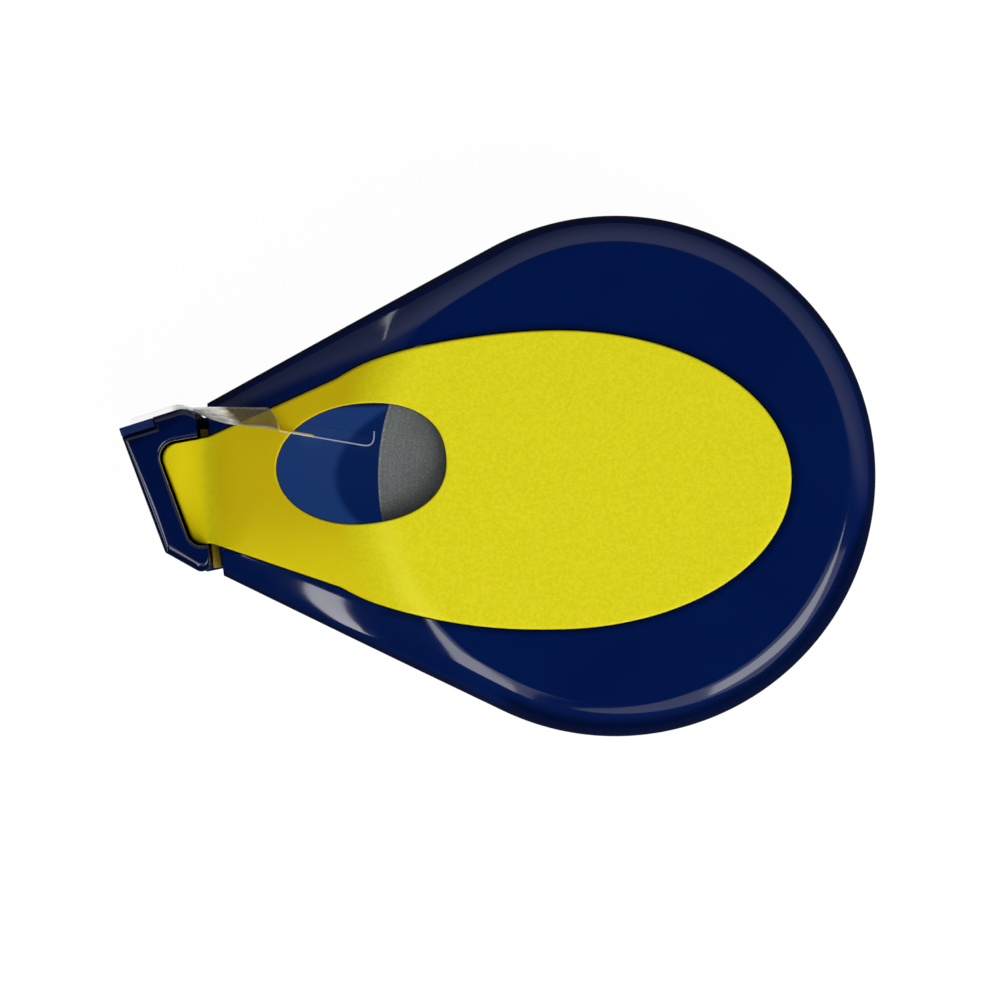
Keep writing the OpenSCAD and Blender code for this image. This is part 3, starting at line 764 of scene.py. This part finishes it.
# the outer line from the gap round the corner, past the cutter's slot, down the front and back to the gap
slot_end, slot_front = tip + along_wall * slot_l, tip + down_front * slot_t / (down_front @ into_wall)
bend_from = math.acos(np.clip((gap_x(6.4, -gap_half) - corner[0]) / corner_r, -1, 1))
nose_line = np.vstack([
    arc(corner, corner_r, np.linspace(bend_from, np.pi / 2 + wall_a, 24)),
    slot_end, slot_end + into_wall * slot_t, slot_front,
    corner_round(slot_front, heel, toe, 0.35, 8),
    corner_round(heel, toe, (toe[0] + 0.4, 0), 0.7, 10), (gap_x(-6.5, -gap_half), -6.5),
])
nose_out, nose_centre = even(nose_line, 560), (-36.0, -0.5)
pocket = even(pad_outline(seat_gap + pocket_gap), 6000, True)
nose_in = matched(nose_out, pocket[pocket[:, 0] < gap_x(pocket[:, 1], -gap_half)], nose_centre)

nose_span = np.hypot(*(nose_in - nose_out).T)[None, :, None]
shares = edged_shares(nose_span, edge_r, lip_r, 8)
to_outside, to_pocket = [(way * nose_span)[..., 0] for way in (shares, 1 - shares)]
rim_grid = lift(between(nose_out, nose_in, shares), nose_h - rolled(to_outside, edge_r) - rolled(to_pocket, lip_r))
outside_grid = upright(nose_out, nose_base, nose_h - edge_r, even_shares(6))
lip_grid = upright(nose_in, nose_floor, nose_h - lip_r, even_shares(5)[::-1])
# the bed under the pad's end, the underside, and the two arms' faces at the gap
share = swept(nose_out, nose_centre)[:, None]
chord_in, chord_out = [line[0] + (line[-1] - line[0]) * share for line in (nose_in, nose_out)]
bed_grid = lift(between(nose_in, chord_in, even_shares(6)), nose_floor)
base_grid = lift(between(nose_out, chord_out, even_shares(6)), nose_base)
arms = [np.vstack([rim_grid[:, side], lip_grid[1:, side]]) for side in (0, -1)]
arm_grids = [np.stack([arm, lift(arm[:, :2], nose_base)]) for arm in arms]
bridge = upright(chord_in, nose_floor, nose_base, (0, 1))

nose_mesh = grid_mesh("nose", sheets(rim_grid, outside_grid, lip_grid, bed_grid, base_grid, *arm_grids, bridge))
nose_piece = add_piece("nose", nose_mesh, glossy_navy("polished_navy_nose", 0.4), "body", "navy_nose", "nose_head")


# ---------------------------------------------------------------------------
# Cutter
# A thin moulded strip with a row of small teeth, slid into the slot at the
# nose's tip. Its lighter blue is painted, for the light that gets through it.
# ---------------------------------------------------------------------------
cutter_finish = Finish("clear_blue_cutter", IOR=1.49, Specular_IOR_Level=0.5, Coat_Weight=0.3, Coat_Roughness=0.05)
# painted light: both blues are lighter than the navy, for the light that gets through the strip
cutter_finish.put(
    Base_Color=cutter_finish.mix(cutter_finish.noise(1.4), (0.0012, 0.008, 0.055), (0.004, 0.020, 0.100)),
    Roughness=cutter_finish.noise(0.6) * 0.12 + 0.14,
)
cutter_finish.bump(cutter_finish.noise(0.5, 2.0), 0.006)
cutter_mesh = joined("cutter_strip", "cutter")
cutter_piece = add_piece("cutter", cutter_mesh, cutter_finish, "body", "cutter", "cutter_strip")
broken_edges(cutter_piece, 0.05, 1)


# ---------------------------------------------------------------------------
# Free end of the tape
# One layer of clear film, seen almost edge on. It peels off the roll, crosses
# the window, and sticks to the nose's corner; above the slope it leans out.
# ---------------------------------------------------------------------------
# thickness, the small bend where it leaves the roll, and the radius that it wraps round the nose's corner
film_t, peel_r, peel_x, peel_y = 0.1, 0.6, -(roll_r + 0.25), 3.1
wrap_r = corner_r + film_t / 2 + 0.02
# the flap: where it starts, the line that its top edge leans out to, and the most that it leans out
flap_x, flap_a, flap_b, flap_most = -28.9, (-37.2, 6.91), (-29.84, 6.64), 2.2
foot_out, corner_out = 1.08, 0.32

route = np.vstack([
    (peel_x + 0.03, peel_y + 1.3),
    arc((peel_x - peel_r, peel_y + peel_r), peel_r, np.radians(np.linspace(0, -79, 14))),
    (-28.0, 4.45), (-neck_len + 1.6, 5.45), (-neck_len + 0.1, 5.95),
    arc(corner, wrap_r, np.linspace(math.radians(60), np.pi / 2 + wall_a, 16)),
    tip + 1.2 * along_wall - (wrap_r - corner_r) * into_wall,
])
path = even(route, 420)
for _ in range(60):
    path[1:-1] = path[1:-1] * 0.5 + (path[:-2] + path[2:]) * 0.25
xs = path[:, 0]
along_film = np.gradient(path, axis=0)
along_film /= np.hypot(*along_film.T)[:, None]
half_film = np.stack([-along_film[:, 1], along_film[:, 0]], -1) * film_t / 2


def past(x, middle, width):
    """0 well before the middle and 1 well past it: 1 / (1 + e to the power -(x - middle) / width)."""
    return 1 / (1 + np.exp(-np.clip((x - middle) / width, -40, 40)))


# how far the foot leans out under the slope, and the flap's top edge above it, up to a straight line over the slope
foot_lean = foot_out * past(xs, -31.0, 0.5) * (1 - past(xs, -20.35, 0.25) * 0.1)
flap_y = flap_a[1] + (xs - flap_a[0]) * (flap_b[1] - flap_a[1]) / (flap_b[0] - flap_a[0])
flare = np.clip(flap_y - path[:, 1], 0, flap_most) * np.sqrt(np.clip(flap_x - xs, 0, 1)) * past(xs, -36.6, 0.35)
flare += corner_out * (1 - past(xs, -36.9, 0.3))
root = np.clip((slope_at(path) - roll_z) / tape_w, 0, 0.96)
root = np.where(xs < -36.4, 0.955, root)[None, :]

share_up = np.concatenate([np.linspace(0, 0.72, 12), np.linspace(0.74, 1, 36)])[:, None]
lean = flare * np.clip((share_up - root) / (1 - root), 0, 1) ** 1.1 + foot_lean * (1 - share_up)
film_plan = path + np.stack([np.zeros_like(lean), lean], -1)
film_z = np.broadcast_to(roll_z + tape_w * share_up, lean.shape)
front, rear = lift(film_plan + half_film, film_z), lift(film_plan - half_film, film_z)[::-1]
film_ends = [np.stack([front[:, end], rear[::-1, end]]) for end in (0, -1)]
film_mesh = grid_mesh("free_tape", [(np.concatenate([front, rear]), False, True)] + sheets(*film_ends))

film_finish = Finish("clear_film", IOR=1.46, Specular_IOR_Level=0.5, Emission_Strength=1.0)
x, y, z = film_finish.axes()
crinkle = film_finish.noise(1.1, 4.0, 0.6)
# height above the straight part of the slope, through which the film comes up
above = z - (from_axis(x, y) * -ramp + (drum_h - bend_drop + (bend_r + bend_w) * ramp))
on_slope = film_finish.ease(x, -29.2, -28.8)
on_flap = 1 - on_slope
doubled = on_flap * film_finish.ease(x, -38.4, -37.0)
stuck = film_finish.fade(x + above * 0.35 + crinkle * 1.6, -32.2, -31.2) * doubled
streaks = film_finish.ease(film_finish.hairlines(0.35, (450, 2600, 900), 3.0), 0.36, 0.56)
# the edges catch the light: the top one, broken into dots on the flap, the foot's, and the root's where it comes up
edge_line = film_finish.ease(z, roll_top - 0.13, roll_top - 0.05)
dots = film_finish.ease(film_finish.noise(0.35, 1.0), 0.40, 0.60)
breaks = film_finish.ease(film_finish.noise(0.5, 1.0), 0.35, 0.55)
foot_line = film_finish.fade(z, roll_z + 0.03, roll_z + 0.12) * breaks
root_line = film_finish.fade(abs(above - 0.2), 0.06, 0.20) * on_flap * film_finish.ease(x, -34.0, -32.0)
line = edge_line * (1 - on_flap * 0.9) + root_line * 0.5
# painted glow: a yellow patch of film over the slope glows, standing for the lit pad seen through it
film_painted_pad_glow = on_slope * film_finish.fade(x, -26.2, -25.7) * film_finish.ease(z, 17.5, 18.5) * (1 - edge_line)
body_tint = film_finish.mix(stuck, (0.10, 0.080, 0.045), (0.74, 0.74, 0.75))
haze = film_painted_pad_glow * 0.7 + doubled * 0.34 + stuck * streaks * 0.55 + 0.04
film_finish.put(
    Base_Color=film_finish.mix(line, body_tint, (0.56, 0.62, 0.70)),
    Alpha=line * 0.55 + edge_line * dots * doubled * 0.35 + foot_line * 0.25 + haze,
    Emission_Color=film_finish.mix(film_painted_pad_glow, (0, 0, 0), (0.48, 0.36, 0.002)),
    Roughness=crinkle * 0.2 + 0.06,
)
film_finish.bump(crinkle, 0.03)
film_piece = add_piece("free_tape", film_mesh, film_finish, "body", "tape_film", "tape_strip")


# ---------------------------------------------------------------------------
# Table
# A matt white sheet that stays white to the eye and keeps a faint shadow, but
# is dark to reflections, so that the gloss of the navy plastic stays deep.
# ---------------------------------------------------------------------------
scene = bpy.context.scene
scene.view_settings.view_transform = "Standard"

table_half = 3
table_mesh = bpy.data.meshes.new("table")
table_corners = [(sx * table_half, sy * table_half, 0) for sx, sy in ((-1, -1), (1, -1), (1, 1), (-1, 1))]
table_mesh.from_pydata(table_corners, [], [(0, 1, 2, 3)])
table = bpy.data.objects.new("table", table_mesh)
scene.collection.objects.link(table)

table_finish = Finish("white_table", Roughness=0.9, Specular_IOR_Level=0.0)
ray = table_finish.node("ShaderNodeLightPath")
seen, mirrored, through = table_finish.outputs(ray, ("Is Camera Ray", "Is Glossy Ray", "Is Transmission Ray"))
table_finish.put(Base_Color=0.42 - mirrored * 0.405)
glow = table_finish.node("ShaderNodeEmission", None, {"Color": (1, 1, 1, 1), "Strength": 1.08})
matt = Value(table_finish, table_finish.shader.outputs[0])
share_glow = seen * 0.90 + mirrored * 0.015 + through * 0.5
surface = table_finish.node("ShaderNodeMixShader", None, {0: share_glow, 1: matt, 2: glow})
table_finish.tree.links.new(surface.socket, table_finish.tree.nodes["Material Output"].inputs["Surface"])
table_mesh.materials.append(table_finish.material)


# ---------------------------------------------------------------------------
# Lamps
# Soft boxes for the long curved highlights, each with a brighter core, two
# narrow cards and two strips for the edges, and one broad box that isn't
# mirrored and lights the rubber.
# ---------------------------------------------------------------------------
aimed_at = (-10, 0, 12)


def lamp(name, azimuth, from_top, distance, width, length, power, turn=0):
    """A soft box that looks at the object: azimuth from +X and angle from the vertical in degrees, its distance and
    its two sides in metres, its power in watts, and how far it is turned about its own axis in degrees."""
    a, e = math.radians(azimuth), math.radians(from_top)
    light = bpy.data.lights.new(name, "AREA")
    light.shape, light.size, light.size_y, light.energy = "RECTANGLE", width, length, power
    made = bpy.data.objects.new(name, light)
    spot = np.array([math.cos(a) * math.sin(e), math.sin(a) * math.sin(e), math.cos(e)]) * distance
    made.location = spot + np.array(aimed_at) * mm
    aim = Euler((e, 0, a + math.pi / 2)).to_matrix() @ Matrix.Rotation(math.radians(turn), 3, "Z")
    made.rotation_euler = aim.to_euler()
    made.visible_camera = False
    scene.collection.objects.link(made)
    return made


lamp("arc_lower_right", -49.9, 30.0, 1.234, 0.90, 0.66, 1.7, turn=-60.7)
lamp("arc_right_core", -44.6, 26.8, 1.334, 0.418, 0.538, 2.8, turn=-22.8)
lamp("arc_lower_left", -119.7, 23.6, 0.92, 0.13, 0.600, 0.24, turn=5)
lamp("arc_left_core", -121.9, 26.0, 0.827, 0.085, 0.518, 0.48, turn=6)
lamp("card_upper_left", 132.7, 74.5, 0.475, 0.005, 0.375, 0.027, turn=-19.4)
lamp("card_lower_left", -142.3, 71.2, 0.148, 0.011, 0.088, 0.019, turn=34.4)
lamp("strip_left", 199, 32, 1.0, 0.08, 0.42, 0.46)
lamp("strip_left_low", 199, 66, 1.0, 0.08, 0.20, 0.22)
lamp("broad_lower_right", -50, 55, 1.4, 1.3, 1.3, 18.6).visible_glossy = False


# ---------------------------------------------------------------------------
# World
# White to the eye. To everything else it is a dome that is nearly dark
# overhead, bright on one side and dimmer near the table.
# ---------------------------------------------------------------------------
world = bpy.data.worlds.new("studio")
scene.world = world
world.use_nodes = True
dome = Nodes(world.node_tree)
background = world.node_tree.nodes["Background"]
background.inputs["Color"].default_value = (1, 1, 1, 1)
direction = dome.node("ShaderNodeTexCoord", out="Generated")
height = dome.node("ShaderNodeSeparateXYZ", None, {0: direction}, out="Z")
bright_side = (0.31, 0.95, 0)
dot = {"operation": "DOT_PRODUCT"}
towards = dome.node("ShaderNodeVectorMath", dot, {0: direction, 1: bright_side}, out="Value")
overhead, near_table = dome.ease(height, 0.90, 0.94, 0.55, 0.015), dome.ease(height, 0.0, 0.95, 0.30, 1.0)
strength = overhead * dome.ease(towards, 0.10, 0.30, 0.06, 1.0) * near_table
to_eye = dome.node("ShaderNodeLightPath", out="Is Camera Ray")
shown = dome.node("ShaderNodeMix", None, {0: to_eye, 2: strength, 3: 1.0})
dome.tree.links.new(shown.socket, background.inputs["Strength"])


# ---------------------------------------------------------------------------
# Camera
# Straight above the middle of the object, turned a little.
# ---------------------------------------------------------------------------
# where it looks, its height above top_z, the width that it sees there, and its turn in degrees
view_x, view_y, view_h, top_z, frame_w, view_turn, film_w = -10.004, -1.820, 785.0, 20.4, 86.41, -1.46, 36
camera = bpy.data.cameras.new("camera")
camera.sensor_width, camera.lens = film_w, film_w * view_h / frame_w
camera.clip_start, camera.clip_end = 0.05, 20
camera_object = bpy.data.objects.new("camera", camera)
camera_object.location = (view_x * mm, view_y * mm, (view_h + top_z) * mm)
camera_object.rotation_euler = (0, 0, math.radians(view_turn))
scene.collection.objects.link(camera_object)
scene.camera = camera_object
